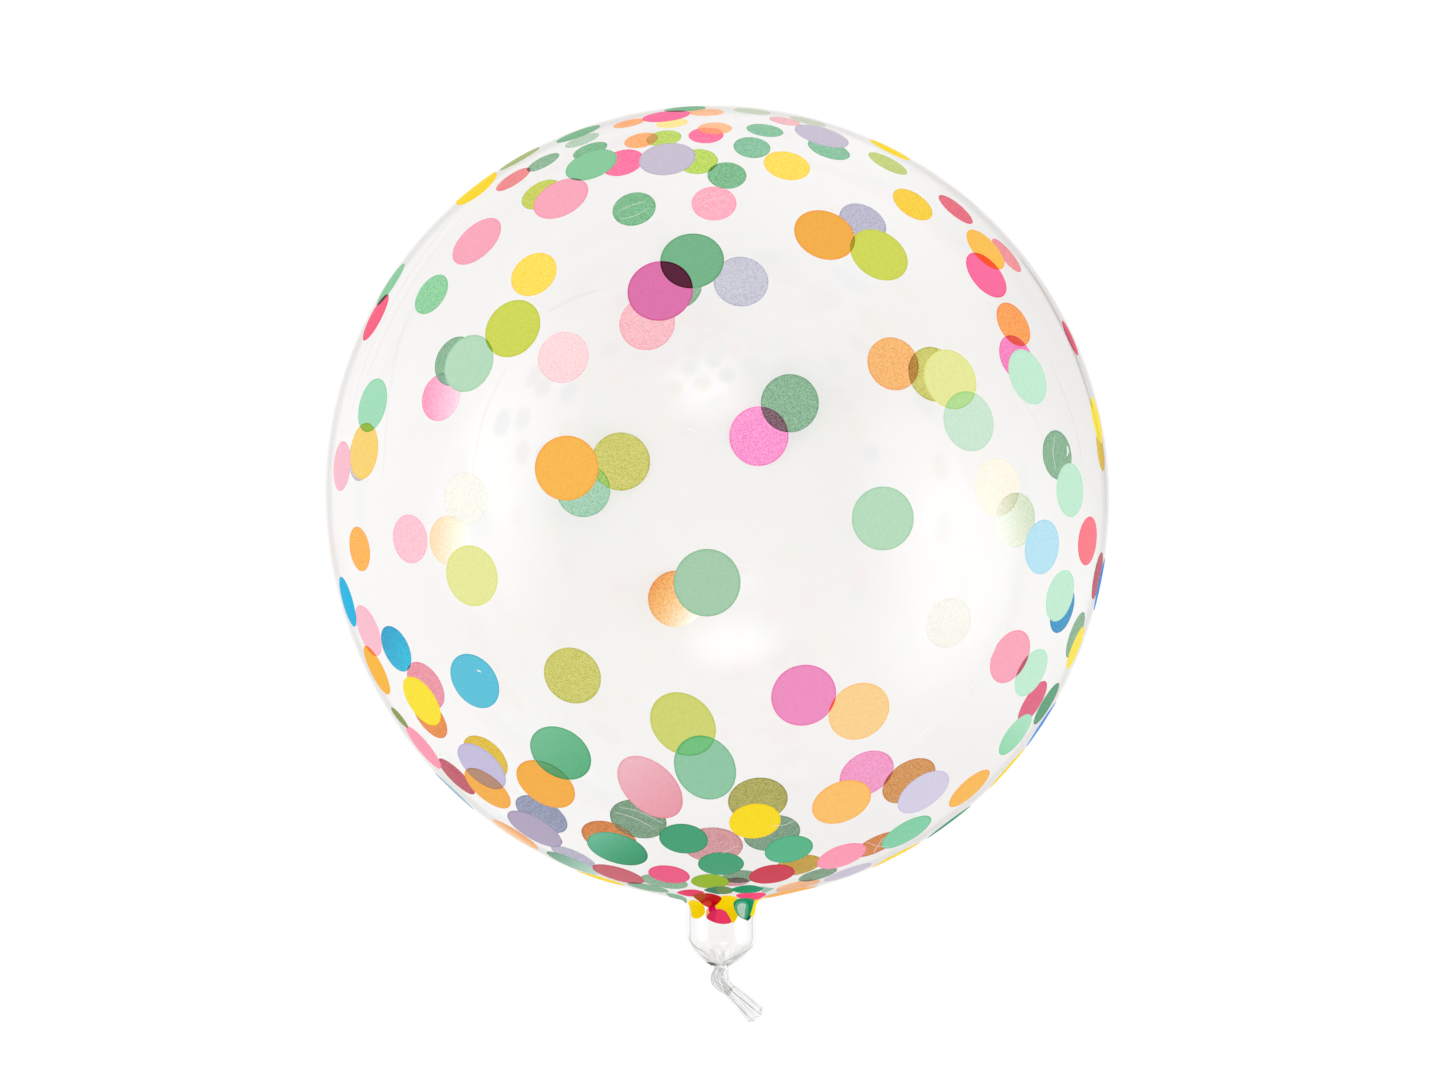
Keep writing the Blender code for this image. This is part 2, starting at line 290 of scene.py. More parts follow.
# The dots on the far side, seen through the film.
BACK_DOTS = (
    (759, 436, 59, "orchid"), (790, 403, 58, "moss"), (893.5, 363.5, 55, "dull_orange"),
    (934, 374, 57, "olive"), (620.5, 461.5, 58, "olive"), (583, 490, 54, "misty_green"),
    (741, 281, 55, "violet_grey"), (563, 357, 53, "pale_rose"), (647, 323, 56, "pale_pink"),
    (676, 285, 52, "moss"), (440.5, 397, 49, "faded_magenta"), (455, 361, 52, "moss"),
    (676, 599, 56, "dull_orange"), (572, 676, 60, "olive"), (449.5, 541, 51, "faint_orange"),
    (409.5, 539, 49, "light_pink"), (465, 498, 51, "faint_lime"), (801, 692, 56, "pale_pink"),
    (949, 623, 52, "faint_lime"), (998, 487, 58, "cream"), (1016, 520, 55, "faint_mint"),
    (533.5, 274, 50, "soft_yellow"), (431, 294, 45, "fresh_green"), (541, 194, 43, "moss_lime"),
    (513, 179, 40, "brick"), (543, 162, 36, "moss"), (582, 140, 36, "pale_moss"),
    (590, 150, 36, "green"), (622, 162, 44, "rose"), (634, 208.5, 44, "green"),
    (641, 140, 34, "soft_orange"), (664, 138, 35, "top_lime"), (672, 123, 32, "hazy_yellow"),
    (629, 123, 32, "soft_orange"), (706, 112, 36, "salmon"), (715, 128, 34, "salmon"),
    (706, 135, 35, "rose"), (752, 111, 37, "hazy_moss"), (765, 130, 37, "cool_green"),
    (752, 147, 37, "cool_green"), (698, 161, 40, "top_lime"), (727, 175, 39, "green"),
    (714, 203, 45, "pink"), (787, 165, 47, "soft_yellow"), (808, 121, 37, "hazy_moss"),
    (785, 121, 32, "pale_pink"), (829, 149, 44, "cool_green"), (888, 163, 43, "dull_lime"),
    (863, 222, 50, "violet_shade"), (913, 204, 45, "deep_yellow"), (956, 209, 43, "soft_crimson"),
    (1007, 255, 43, "brick_pink"), (1014, 324, 48, "deep_orange"), (1017, 358, 49, "magenta"),
    (1058, 455, 50, "moss"), (1101, 451, 40, "rich_ochre"), (1063, 610, 48, "sea_blue"),
    (1098, 576, 48, "dusk_rose"), (1076, 635, 48, "moss"), (1033, 703, 50, "berry"),
    (1047, 704, 48, "deep_green"), (360, 456, 50, "violet_grey"), (359, 549, 45, "orange"),
    (395.5, 649, 49, "deep_blue"), (425, 686, 53, "dull_rose"), (429, 717, 51, "warm_brown"),
    (485, 757.5, 54, "ochre"), (456, 777, 50, "dusk_rose"), (555, 757, 51, "blue"),
    (541, 815, 58, "slate"), (540, 832, 50, "brown"), (573, 857, 48, "violet_shade"),
    (609, 839, 58, "brown"), (638, 820, 58, "deep_moss"), (713, 846, 60, "dull_pink"),
    (758, 800.5, 60, "dark_olive"), (772, 834, 57, "deep_moss"), (798, 866, 48, "dark_ochre"),
    (867, 774, 58, "soft_orchid"), (909.5, 781.5, 60, "light_brown"), (877, 845, 50, "brown"),
    (664, 882, 48, "moss"), (740, 877, 36, "deep_moss"), (735, 882, 28, "dull_pink"),
    (798, 886, 45, "salmon"), (818, 875, 40, "deep_moss"),
)

# Dots that straddle the outline, seen as slivers: pixel across and down, the sliver's length, and the ink.
RIM_DOTS = (
    (1101, 585, 42, "vivid_blue"), (1039, 725, 46, "vivid_blue"), (1004, 769, 43, "vivid_yellow"),
    (943, 823, 46, "vivid_green"), (890, 856, 42, "vivid_yellow"), (455, 792, 46, "dusty_blue"),
    (789, 893, 30, "orange"),
)
RIM_DOT_WIDTH_PX = 54
# Every dot, in the order in which they are cut into the film.
ALL_DOTS = (*BACK_DOTS, *RIM_DOTS, *FRONT_DOTS, *FRONT_OVALS)
# How far each dot is stretched down the orb's slope at either end, the slope from which that is whole,
# and the flatnesses between which it fades out at the rim.
SLOPE_STRETCH = 0.0010
STRETCH_FULL_SLOPE = 0.4
STRETCH_FADES = (0.25, 0.37)

# The print where the film narrows into the neck, squeezed out of round, with a painted highlight and
# painted shade
# on its green: each shape's ink, then the pixels that its smooth outline runs through. Each shape hides
# those before it.
NECK_PRINT = (
    ("moss", ((666, 893), (677, 894.5), (684, 897), (687, 900), (686, 903), (680, 901.5),
        (672, 898.5))),
    ("grey_green", ((761, 886.5), (768, 887.5), (774, 888.5), (769, 891), (763, 893))),
    ("vivid_rose", ((677, 892.5), (684, 890), (694, 889.5), (704, 892), (700, 894.5), (693, 896.5),
        (684, 895.5))),
    ("teal", ((704, 890), (711, 887.5), (721, 886.5), (724, 890), (721, 894), (712, 893))),
    ("leaf_teal", ((719, 886.5), (728, 887), (733, 889.5), (731, 893), (721, 894), (716, 890))),
    ("vivid_green", ((731, 889.5), (740, 886), (750, 885), (759, 886.5), (763, 889), (755, 892.5),
        (740, 893))),
    ("bright_rose", ((736, 896), (740, 893.5), (752, 893), (762, 892.5), (766, 895), (756, 900),
        (744, 899.5))),
    ("vivid_yellow", ((688, 902.5), (693, 900), (699, 902), (704, 906), (704.5, 914), (698, 918.5),
        (692, 917), (690.5, 909))),
    ("amber", ((706.5, 910), (709.5, 908), (710.5, 913), (707.5, 918), (706, 916))),
    ("vivid_yellow", ((714, 906), (720, 900), (722, 896), (730, 895.5), (738, 898.5), (740, 908),
        (737, 918), (732, 923), (724, 914), (716, 909.5))),
    ("lemon", ((754, 900.5), (764.5, 898.5), (763, 901), (757, 905), (754.5, 914), (752, 916.5),
        (749, 915), (750, 905))),
    ("vivid_magenta", ((708.5, 905), (714, 905), (716, 909), (714, 913), (710, 913), (708.5, 909))),
    ("vivid_red", ((693, 895.5), (700, 893.5), (711, 893.5), (721, 897), (720, 901.5), (713, 907),
        (706, 906.5), (698, 900.5))),
    ("rust", ((693, 895.5), (699, 893.8), (706, 893.8), (704, 899), (700.5, 901.5), (696, 899))),
    ("light_red", ((702.5, 903.5), (707, 901.5), (711, 901.5), (710.5, 906.5), (706, 906.3))),
    ("vivid_rose", ((706.5, 917.5), (710, 912.5), (718, 909), (725, 911), (729.5, 917), (731, 922.5),
        (722, 924), (712, 921.5))),
    ("warm_rose", ((718, 909.5), (724.5, 911.3), (729, 917), (730.6, 922.2), (724, 923.6), (717, 922.8),
        (715.5, 916))),
    ("vivid_green", ((733.5, 905), (736, 900), (744, 898), (753.5, 899.5), (753, 906), (750, 915),
        (747, 920), (738, 915.5))),
    # Painted highlight and painted shade on the green: the lit and glinting shapes, then the shaded one.
    ("lit_green", ((734.8, 906), (738, 901.8), (746, 902), (748.5, 908), (746, 918.5), (740, 917),
        (736, 912))),
    ("glint_green", ((737.5, 906), (741.5, 903.3), (745.8, 904.8), (745, 911), (744, 918), (740.5, 916),
        (738, 912))),
    ("shade_green", ((746.5, 919), (750.5, 915), (750.5, 918), (747.5, 920.8))),
)

# Fine creases in the film, a painted glint, and painted shade in the gather's creases and at its pinch: the
# ink that shows each, its width in pixels, and the pixels along it.
STROKES = (
    ("white", 1.4, ((1014, 585), (1000, 635), (980, 675), (947, 712), (904, 748))),
    ("white", 1.6, ((735, 562), (741, 565), (747, 567))),
    ("white", 1.4, ((686, 428), (692, 430), (697, 433))),
    ("white", 1.4, ((477, 670), (481, 672))),
    ("pale_grey", 0.5, ((617, 212), (632, 205), (646, 201))),
    ("pale_grey", 0.45, ((620, 219), (634, 216), (650, 207))),
    ("pale_grey", 0.45, ((694, 199), (706, 194), (722, 193))),
    ("pale_grey", 0.45, ((699, 206), (712, 199), (731, 199))),
    ("pale_grey", 0.45, ((404, 524), (409, 538), (412, 553))),
    # Painted glint: a white highlight on the far dot.
    ("white", 1.6, ((1067, 446), (1068, 451), (1067, 456))),
    ("pale_grey", 0.45, ((1055, 436), (1053, 452), (1056, 470))),
    ("pale_grey", 0.5, ((619, 807), (640, 812), (664, 824))),
    ("pale_grey", 0.5, ((613, 812), (634, 818), (657, 830))),
    ("pale_grey", 0.45, ((770, 826), (784, 825), (796, 820))),
    ("pale_grey", 0.5, ((722, 853.5), (730, 849.5), (738, 845))),
    ("pale_grey", 0.5, ((866, 842), (877, 846), (889, 847))),
    ("pale_grey", 0.5, ((873, 853), (879, 844), (884, 837))),
    # Painted shade: the dark blot at the pinch of the waist, and grey lines in the creases of the gather.
    ("shade_grey", 2.2, ((706, 962), (711, 963.6), (716, 965.2))),
    ("crease_grey", 1.3, ((688.5, 936), (691, 942), (696, 947), (702, 951.5), (708, 957), (712, 963))),
    ("pale_grey", 2.0, ((700, 949), (705, 953), (708, 958), (709, 962))),
    ("pale_grey", 1.5, ((710, 949), (714, 953), (716, 958))),
    ("crease_grey", 1.5, ((753, 945), (749, 949.5), (742, 953.5), (735, 956.5), (729, 960), (722, 963.5))),
    ("pale_grey", 1.2, ((741, 953), (742, 949), (747, 945.5))),
    ("crease_grey", 1.6, ((740, 955), (736, 958), (731, 959))),
)

# Lines of doubled film, which stay clear, and two lines of painted shade along the right-hand outline that
# stand
# for a dark reflection: the tone of each, its width, and the pixels along it.
FILM_LINES_AND_RIM_SHADE = (
    # Painted shade: these first two stand for a dark reflection along the right-hand outline.
    (0.6, 2.4, ((1020, 258), (1040, 286), (1060, 322), (1075, 355), (1087, 390), (1093, 410))),
    (0.85, 1.6, ((1093, 410), (1101, 445), (1105, 480), (1106, 520))),
    (0.92, 1.3, ((492, 178), (455, 214), (418, 262), (388, 312), (364, 366), (350, 420))),
    (0.93, 1.2, ((474, 203), (432, 255), (400, 305), (378, 350), (358, 400))),
    (0.95, 3.0, ((424, 290), (403, 330), (392, 375), (386, 430), (383, 480))),
    (0.94, 3.0, ((604, 289), (575, 298), (546, 313))),
    (0.95, 3.0, ((512, 358), (497, 385), (484, 415), (476, 450), (472, 475))),
    (0.94, 1.6, ((1010, 385), (1033, 415), (1046, 448), (1051, 480))),
    (0.92, 1.4, ((1046, 350), (1062, 390), (1076, 430), (1083, 470))),
)

# Where two dots overlap, the second ink darkens the first a little more than the product of the two.
OVERLAP_STRENGTH = 1.15
# Ink runs thicker at a dot's edge: how much stronger, and the share of the dot's radius where it begins.
EDGE_INK_STRENGTH = 1.45
EDGE_INK_START = 0.93
# Seen from inside, an ink is paler, by a power below 1, and has specks, by a power above 1.
INNER_INK_STRENGTH = 0.93
INNER_SPECK_STRENGTH = 1.4

# The materials, by their places in the mesh's list.
FILM, PRINT, NECK_FILM, NECK_LINING, WAD = range(5)

# How much light film lets through, from seen square on, 0, to edge on, 1. The dark band close to edge on
# and the clearing at the very edge are painted, standing in for reflections near the orb's outline.
STRETCHED_EDGE = (
    (0.0, 0.88), (0.2, 0.905), (0.45, 0.92), (0.74, 0.925), (0.79, 0.91), (0.83, 0.81), (0.875, 0.79),
    (0.91, 0.86), (0.97, 0.99),
)
# Painted shade: the film is a little greyer towards some sides, where less light falls on it: which way,
# from how far out, to how far, and the tone.
PAINTED_SIDE_SHADE = (
    ((0.91, 0.41, 0), 0.14, 0.195, 0.89),
    ((0.42, -0.91, 0), 0.12, 0.19, 0.93),
    ((-0.62, 0.78, 0), 0.14, 0.18, 0.965),
)
NECK_EDGE = ((0.0, 0.99), (0.6, 0.98), (0.85, 0.93), (1.0, 0.95))
LINING_EDGE = ((0.0, 0.93), (0.12, 0.95), (0.3, 0.985), (0.6, 0.96), (0.8, 0.74), (0.92, 0.8))
FILM_TINT = (1, 0.997, 0.993)
# Each material's mottling, as tones at places of a noise, and that noise's scale, detail and stretch.
FILM_HAZE = ((0.35, 0.975), (0.65, 1.0))
FILM_HAZE_NOISE = (9.0, 3.0, (1, 0.4, 1))
INK_CLOUD = ((0.3, 0.92), (0.62, 1.0))
INK_CLOUD_NOISE = (850.0, 3.0)
INK_GRAIN = (0.38, 0.56)
INK_GRAIN_NOISE = (1150.0, 2.0)
WAD_STREAKS = ((0.35, 0.9), (0.65, 1.0))
WAD_STREAK_NOISE = (420.0, 3.0, (1, 0.35, 1))
FLOOR_TONE = ((0.4, 0.44), (0.6, 0.46))
FLOOR_NOISE = (3.0, 2.0)
# How much the bunched film is lightened, from seen square on to edge on.
WAD_EDGE = ((0.75, 0.0), (0.98, 0.5))

FLOOR_REACH = 4.0
FLOOR_GAP = 0.0005

# The light: the even brightness all round, the backdrop's own glow, and the softboxes, each with its
# compass angle, height angle, distance, width, height and brightness.
SKY_COLOUR = (1, 0.998, 0.993, 1)
SKY_BRIGHTNESS = 1.0
FLOOR_GLOW = 0.6
SOFTBOXES = {
    "left_softbox": (186, 23, 1.6, 2.0, 1.7, 1.4),
    "right_softbox": (-17, 17, 1.6, 2.4, 1.9, 1.8),
    "crown_softbox": (90, 65, 2.0, 1.3, 0.6, 1.6),
    "neck_softbox": (-84, 51, 2.0, 1.3, 0.8, 2.3),
}
# How far from its middle a softbox is dark, and within what distance brightest, as shares of its size.
SOFTBOX_FADE = (0.5, 0.05)
# The glow at the orb's heart stands for the light that scatters about inside it.
HEART_BRIGHTNESS = 0.2

# The plain values of each shader.
FILM_FINISH = {
    "Roughness": 0.0,
    "IOR": 1.0,
    "Transmission Weight": 1.0,
    "Coat Weight": 0.16,
    "Coat IOR": 3.0,
    "Coat Roughness": 0.06,
}
PRINT_FINISH = {"Roughness": 0.5, "Specular IOR Level": 0.02}
WAD_FINISH = {
    "Roughness": 0.1,
    "IOR": 1.03,
    "Transmission Weight": 1.0,
    "Coat Weight": 0.6,
    "Coat Roughness": 0.08,
}
FLOOR_FINISH = {
    "Roughness": 0.9,
    "Specular IOR Level": 0.0,
    "Emission Color": (1, 1, 1, 1),
    "Emission Strength": FLOOR_GLOW,
}


def between(low, high, share):
    return low + (high - low) * share


def rise(value, start, end):
    """0 up to the start and 1 from the end."""
    return np.clip((value - start) / (end - start), 0, 1)


def smooth_step(share):
    return share * share * (3 - 2 * share)


def unit(vectors):
    return vectors / np.linalg.norm(vectors, axis=-1, keepdims=True)


def even_turns(count):
    return np.linspace(0, 2 * math.pi, count, endpoint=False)


def linear(colour):
    """An 8-bit display colour as linear light, by the sRGB curve."""
    parts = np.array(colour) / 255
    return np.where(parts <= 0.04045, parts / 12.92, ((parts + 0.055) / 1.055) ** 2.4)


def film_outline():
    """The film's reaches and radii from crown to waist, and the reach where the gather starts."""
    turn = np.linspace(0, math.pi / 2, ARC_POINTS, endpoint=False)
    crown = (-CROWN_REACH * np.cos(turn), ORB_RADIUS * np.sin(turn))
    shoulder_turn = math.acos(SHOULDER_DIAMETER / 2 / ORB_RADIUS)
    turn = np.linspace(0, shoulder_turn, ARC_POINTS)
    shoulder = (SHOULDER_REACH * np.sin(turn), ORB_RADIUS * np.cos(turn))
    cone_slope = SHOULDER_REACH / ORB_RADIUS / math.tan(shoulder_turn)
    corner_reach = shoulder[0][-1] + cone_slope * (SHOULDER_DIAMETER / 2 - NECK_RADIUS)
    whole_turn = math.pi / 2 - math.atan(cone_slope)
    wall_reach = corner_reach + NECK_ROOT_FILLET * math.tan(whole_turn / 2)
    turn = np.linspace(whole_turn, 0, FILLET_POINTS)
    fillet = (
        wall_reach - NECK_ROOT_FILLET * np.sin(turn),
        NECK_RADIUS + NECK_ROOT_FILLET * (1 - np.cos(turn)),
    )
    gather_start = wall_reach + NECK_LENGTH
    share = np.linspace(0, 1, GATHER_CURVE_POINTS)
    gather = (
        gather_start + GATHER_LENGTH * share,
        between(NECK_RADIUS, WAIST_RADIUS, share**GATHER_ROUNDNESS),
    )
    return *np.concatenate((crown, shoulder, fillet, gather), axis=1), gather_start


class Outline:
    """The film's outline at even steps of length from the crown, and each step's place on a flat chart.

    The chart is a round map of the film, crown in the middle. It keeps small shapes true: steps along the
    film and round it grow by the same amount."""

    def __init__(self):
        reaches, radii, self.gather_start = film_outline()
        drawn_length = np.concatenate(((0.0,), np.cumsum(np.hypot(np.diff(reaches), np.diff(radii)))))
        self.end = drawn_length[-1]
        self.length = np.linspace(0, self.end, int(self.end / OUTLINE_STEP))
        self.reach = np.interp(self.length, drawn_length, reaches)
        self.radius = np.interp(self.length, drawn_length, radii)
        self.step = self.length[1]
        growth = self.step / 2 * (1 / self.radius[1:-1] + 1 / self.radius[2:])
        self.log_chart = math.log(self.step) + np.concatenate(((0.0,), np.cumsum(growth)))
        self.crown_part = self.reach < -CROWN_REACH / 2

    def reach_at(self, length):
        return np.interp(length, self.length, self.reach)

    def radius_at(self, length):
        return np.interp(length, self.length, self.radius)

    def chart_distance(self, length):
        far = np.exp(np.interp(length, self.length[1:], self.log_chart))
        return np.where(length < self.step, length, far)

    def length_at(self, distance):
        far = np.interp(np.log(np.maximum(distance, self.step)), self.log_chart, self.length[1:])
        return np.where(distance < self.step, distance, far)


OUTLINE = Outline()


def gather_share(length):
    """0 up to the gather and 1 at the waist."""
    start = OUTLINE.gather_start
    return rise(OUTLINE.reach_at(length), start, start + GATHER_LENGTH)


def gather_fold(length, angle):
    """How far the gathered film's folds stand out from its round form."""
    fold = sum(height * np.cos(count * angle + math.radians(turn)) for count, height, turn in GATHER_FOLDS)
    return fold * np.sin(math.pi / 2 * rise(gather_share(length), FOLD_ONSET, 1))


def film_points(length, angle, inset=0.0):
    """Points of the film, from lengths along its outline and angles round it."""
    length, angle = np.broadcast_arrays(length, angle)
    reach = OUTLINE.reach_at(length)
    radius = OUTLINE.radius_at(length) + gather_fold(length, angle) - inset
    x = AXIS_LEAN * reach + radius * np.cos(angle)
    z = AXIS_HEIGHT + radius * np.sin(angle)
    # The floor presses the film into a small flat patch with a soft edge
    rested = (z + np.sqrt(z**2 + REST_PATCH_SOFTNESS**2)) / 2
    return np.stack((x, -reach, rested), axis=-1)


def film_normals(length, angle):
    """Outward normals from small steps along the film and round it."""
    step = 3 * OUTLINE_STEP
    turn = step / np.maximum(OUTLINE.radius_at(length), step)
    along = film_points(length + step, angle) - film_points(np.maximum(length - step, 0), angle)
    around = film_points(length, angle + turn) - film_points(length, angle - turn)
    normals = np.cross(around, along)
    normals[length < step] = (0, 1, 0)
    return unit(normals)


def axis_places(points):
    """Each point's reach along the balloon's axis, its distance from the axis and its angle round it."""
    reach = -points[..., 1]
    side = points[..., 0] - AXIS_LEAN * reach
    height = points[..., 2] - AXIS_HEIGHT
    return reach, np.hypot(side, height), np.arctan2(height, side)


def film_places(points):
    """Lengths and angles on the film's outline for points that lie on the film."""
    reach, radius, angle = axis_places(points)
    crown = OUTLINE.crown_part
    by_radius = np.interp(radius, OUTLINE.radius[crown], OUTLINE.length[crown])
    by_reach = np.interp(reach, OUTLINE.reach, OUTLINE.length)
    return np.where(reach < -CROWN_REACH / 2, by_radius, by_reach), angle


def outside(points):
    """How far points are outside the film, measured from its axis; negative inside."""
    reach, radius, _angle = axis_places(points)
    gap = radius - np.interp(reach, OUTLINE.reach, OUTLINE.radius)
    return np.where(reach < -CROWN_REACH, np.maximum(gap, -CROWN_REACH - reach), gap)


def crossing(inner, outer):
    """Points of the film between inner points and outer ones, by halving."""
    for _ in range(HALVINGS):
        middle = (inner + outer) / 2
        within = (outside(middle) < 0)[..., None]
        inner = np.where(within, middle, inner)
        outer = np.where(within, outer, middle)
    return (inner + outer) / 2


def film_near(heart, points):
    """The film's points on the lines from a heart inside it through points near the film."""
    return crossing(between(heart, points, 1 - SEARCH_SHARE), between(heart, points, 1 + SEARCH_SHARE))


def camera_place():
    scale = CAMERA_DISTANCE / FOCAL_LENGTH_PX
    across = (PHOTO_WIDTH / 2 - ORB_PIXEL[0]) * scale
    up = (ORB_PIXEL[1] - PHOTO_HEIGHT / 2) * scale
    return np.array((across, up, AXIS_HEIGHT + CAMERA_DISTANCE))


def sight_points(pixels, depth):
    """The points at that depth below the camera in the line of these pixels."""
    across = pixels[:, 0] - PHOTO_WIDTH / 2
    up = PHOTO_HEIGHT / 2 - pixels[:, 1]
    directions = np.stack((across, up, np.full(len(pixels), -FOCAL_LENGTH_PX)), axis=-1)
    return camera_place() + directions * np.broadcast_to(depth, len(pixels))[:, None] / FOCAL_LENGTH_PX


def deepest_points(pixels):
    """For each pixel's line of sight, its point that is deepest inside the film, by narrowing."""
    near = np.full(len(pixels), CAMERA_DISTANCE - ORB_RADIUS)
    far = np.full(len(pixels), CAMERA_DISTANCE + ORB_RADIUS)
    for _ in range(NARROWINGS):
        first, second = between(near, far, 1 / 3), between(near, far, 2 / 3)
        deeper_first = outside(sight_points(pixels, first)) < outside(sight_points(pixels, second))
        near, far = np.where(deeper_first, near, first), np.where(deeper_first, second, far)
    return sight_points(pixels, near)


def outline_points(pixels):
    """The points where the film turns away from the camera, nearest to these pixels."""
    middle = deepest_points(pixels)
    height = np.full(len(middle), AXIS_HEIGHT)
    on_axis = np.stack((-AXIS_LEAN * middle[:, 1], middle[:, 1], height), axis=-1)
    return film_near(on_axis, middle)


def seen_on_film(pixels, near_side):
    """The film's points that the photograph shows at these pixels, on its near or far side. A pixel that
    just misses the film gets the nearest point of its outline."""
    middle = deepest_points(pixels)
    past_film = ORB_RADIUS * (1 + SEARCH_SHARE)
    beyond = CAMERA_DISTANCE + (-past_film if near_side else past_film)
    seen = crossing(middle, sight_points(pixels, beyond))
    missed = (outside(middle) >= 0)[:, None]
    return np.where(missed, outline_points(pixels), seen)


def disc_edges(centres, diameters, stretch):
    """The points of each dot's edge on the film. Down the orb's slope it is longer by the stretch."""
    normals = film_normals(*film_places(centres))
    level = unit(np.cross(normals, UP) + SIDEWAYS * NEVER_ZERO)
    steepest = np.cross(normals, level)
    flatness = np.abs(normals[:, 2])
    slope = np.sqrt(1 - flatness**2)
    faded = np.interp(flatness, STRETCH_FADES, (0, 1))
    longer = stretch * faded * np.minimum(slope / STRETCH_FULL_SLOPE, 1) / flatness
    turns = even_turns(DOT_POINTS)[None, :, None]
    half_level = diameters[:, None, None] / 2
    half_steep = half_level + longer[:, None, None]
    swept = half_level * level[:, None] * np.cos(turns) + half_steep * steepest[:, None] * np.sin(turns)
    edges = centres[:, None] + swept
    depth = normals[:, None] * np.minimum(DOT_DEPTH, diameters)[:, None, None]
    return crossing(edges - depth, edges + depth)


def real_widths(widths_px, centres):
    return widths_px * (camera_place()[2] - centres[:, 2]) / FOCAL_LENGTH_PX


def split_table(dots):
    """A table of dots as its numbers, and its last column, the inks."""
    return np.array([dot[:-1] for dot in dots], float), [dot[-1] for dot in dots]


def round_dots(dots, near_side):
    table, inks = split_table(dots)
    centres = seen_on_film(table[:, :2], near_side)
    return zip(disc_edges(centres, real_widths(table[:, 2], centres), SLOPE_STRETCH), inks)


def oval_dots(ovals):
    """Ovals on the near side."""
    table, inks = split_table(ovals)
    turns = even_turns(DOT_POINTS)
    edges = []
    for x, y, long_px, short_px, tilt_deg in table:
        across, down = math.cos(math.radians(tilt_deg)), math.sin(math.radians(tilt_deg))
        along = np.outer(np.cos(turns), (across, down)) * long_px / 2
        aside = np.outer(np.sin(turns), (-down, across)) * short_px / 2
        edges.append(seen_on_film((x, y) + along + aside, True))
    return zip(edges, inks)


def rim_dots(dots):
    """Dots that cross the outline: full width, with most of the dot on the near side."""
    table, inks = split_table(dots)
    edges = outline_points(table[:, :2])
    half_chords = real_widths(table[:, 2], edges) / 2
    half_widths = real_widths(np.full(len(table), RIM_DOT_WIDTH_PX), edges) / 2
    rises = np.sqrt(np.maximum(half_widths**2 - half_chords**2, 0))
    centres = film_near(UP * AXIS_HEIGHT, edges + UP * rises[:, None])
    return zip(disc_edges(centres, half_widths * 2, 0), inks)


def printed_dots():
    """Each dot's edge on the film, with its ink, in the order of ALL_DOTS."""
    return [
        *round_dots(BACK_DOTS, False),
        *rim_dots(RIM_DOTS),
        *round_dots(FRONT_DOTS, True),
        *oval_dots(FRONT_OVALS),
    ]


def smooth_path(points, count, closed):
    """Evenly many points of a smooth curve through these points."""
    points = np.array(points, float)
    if closed:
        before, after, beyond = (np.roll(points, shift, axis=0) for shift in (1, -1, -2))
    else:
        padded = np.concatenate((points[:1], points, points[-1:]))
        before, points, after, beyond = padded[:-3], padded[1:-2], padded[2:-1], padded[3:]
    places = np.linspace(0, len(points), count, endpoint=not closed)
    leg = np.minimum(places.astype(int), len(points) - 1)
    share = (places - leg)[:, None]
    first, second, third, fourth = before[leg], points[leg], after[leg], beyond[leg]
    bend = 2 * first - 5 * second + 4 * third - fourth
    twist = 3 * second - first - 3 * third + fourth
    return second + (third - first) * share / 2 + bend * share**2 / 2 + twist * share**3 / 2


def strokes(lines):
    """The outlines on the film of lines that taper at both ends, each with its ink or tone."""
    shapes = []
    for ink, width, path in lines:
        middle = smooth_path(path, STROKE_POINTS, False)
        along = unit(np.gradient(middle, axis=0))
        aside = np.stack((-along[:, 1], along[:, 0]), axis=-1)
        swell = np.sin(np.linspace(0, math.pi, STROKE_POINTS))[:, None] ** STROKE_SWELL_POWER
        half = aside * width / 2 * between(STROKE_END_WIDTH, 1, swell)
        loop = np.concatenate((middle + half, (middle - half)[::-1]))
        shapes.append((seen_on_film(loop, True), ink))
    return shapes


def neck_print():
    shapes = []
    for ink, outline in NECK_PRINT:
        shapes.append((seen_on_film(smooth_path(outline, DOT_POINTS, True), True), ink))
    return shapes


def chart_points(length, angle):
    distance = OUTLINE.chart_distance(length)
    return np.stack((distance * np.cos(angle), distance * np.sin(angle)), axis=-1)


def turned_left(loop):
    """The loop of chart points, reversed if it runs clockwise."""
    after = np.roll(loop, -1, axis=0)
    area = np.sum(loop[:, 0] * after[:, 1] - after[:, 0] * loop[:, 1])
    return loop if area > 0 else loop[::-1]


def on_chart(shapes):
    """Each shape as (its edge on the chart, its ink)."""
    return [(turned_left(chart_points(*film_places(edge))), ink) for edge, ink in shapes]


def lattice():
    """Evenly spread points of the whole film on the chart, finer towards the neck."""
    points = [np.zeros((1, 2))]
    length, row = ORB_STEP / 2, 0
    while length < OUTLINE.end:
        radius = OUTLINE.radius_at(length)
        step = ORB_STEP
        if OUTLINE.reach_at(length) > 0:
            step = min(max(radius * NECK_STEP_SHARE, FINEST_STEP), ORB_STEP)
        count = max(LEAST_RING_POINTS, int(2 * math.pi * radius / step))
        if gather_share(length) > 0:
            count = GATHER_POINTS
        angle = 2 * math.pi * (np.arange(count) + 0.5 * (row % 2)) / count
        points.append(chart_points(np.full(count, length), angle))
        length += step * RING_SPACING
        row += 1
    points.append(chart_points(np.full(GATHER_POINTS, OUTLINE.end), even_turns(GATHER_POINTS)))
    return np.concatenate(points)


